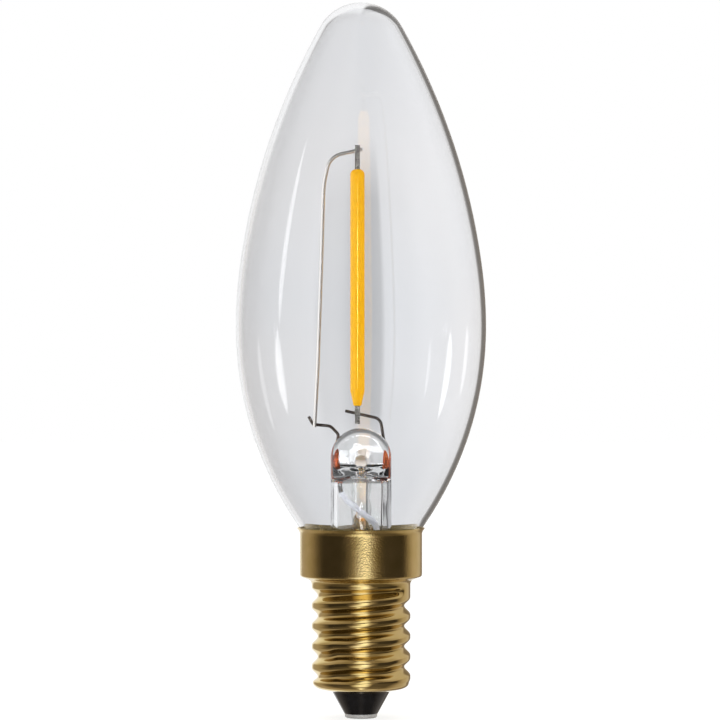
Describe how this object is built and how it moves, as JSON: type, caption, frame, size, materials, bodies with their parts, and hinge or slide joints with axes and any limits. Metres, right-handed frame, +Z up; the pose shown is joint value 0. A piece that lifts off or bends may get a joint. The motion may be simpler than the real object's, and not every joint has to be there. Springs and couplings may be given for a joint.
{
  "type": "candle bulb",
  "caption": "clear glass candle-shaped lamp with a straight yellow LED filament on a glass stem and a small brass screw cap",
  "frame": {"origin": "middle of the centre contact's lowest face, on the lamp's axis", "axes": "+Z runs up the lamp's axis from the cap to the glass tip; +X is to the right and -Y faces the viewer in the picture, and both inner leads lie in the XZ plane"},
  "size_m": [0.0348, 0.0348, 0.0994],
  "materials": {
    "cap_brass": "pale yellow brass, satin skirt and glossy thread",
    "black_glass": "glossy black pressed glass",
    "contact_metal": "dull tin-plated metal",
    "cement": "matt basing cement",
    "bulb_glass": "clear blown glass",
    "stem_glass": "clear pressed glass",
    "seal_wire": "orange-red copper-clad wire in glass",
    "lead_wire": "dark grey nickel-plated wire",
    "bright_wire": "bright drawn wire",
    "pale_sleeve": "translucent white insulating sleeve",
    "strip_ceramic": "white alumina ceramic",
    "led_chip": "blue-white semiconductor chips",
    "phosphor_coat": "orange-yellow phosphor silicone, unlit",
    "terminal_metal": "grey plated strip",
    "circuit_board": "green glass-fibre board",
    "black_epoxy": "black moulded epoxy",
    "tinned_metal": "tinned wire and solder",
    "capacitor_can": "can in a dark shrunk sleeve",
    "resistor_coat": "lacquered ceramic body",
    "hookup_wire": "insulated copper wire"
  },
  "bodies": {
    "root": {"cap_shell": "cap_brass", "cap_insulator": "black_glass", "centre_contact": "contact_metal", "basing_cement": "cement", "glass_bulb": "bulb_glass", "stem_glass": "stem_glass", "exhaust_tube": "stem_glass", "left_seal_wire": "seal_wire", "right_seal_wire": "seal_wire", "left_inner_lead": "lead_wire", "right_inner_lead": "lead_wire", "return_wire": "bright_wire", "left_outer_lead": "lead_wire", "right_outer_lead": "lead_wire", "lead_sleeve": "pale_sleeve", "filament_strip": "strip_ceramic", "led_chips": "led_chip", "filament_coat": "phosphor_coat", "lower_terminal": "terminal_metal", "upper_terminal": "terminal_metal", "insulating_sleeve": "pale_sleeve", "driver_board": "circuit_board", "bridge_rectifier": "black_epoxy", "driver_chip": "black_epoxy", "chip_legs": "tinned_metal", "chip_resistors": "black_epoxy", "smoothing_capacitor": "capacitor_can", "fuse_resistor": "resistor_coat", "component_legs": "tinned_metal", "contact_wire": "hookup_wire", "shell_wire": "hookup_wire", "solder_joints": "tinned_metal"}
  },
  "joints": []
}
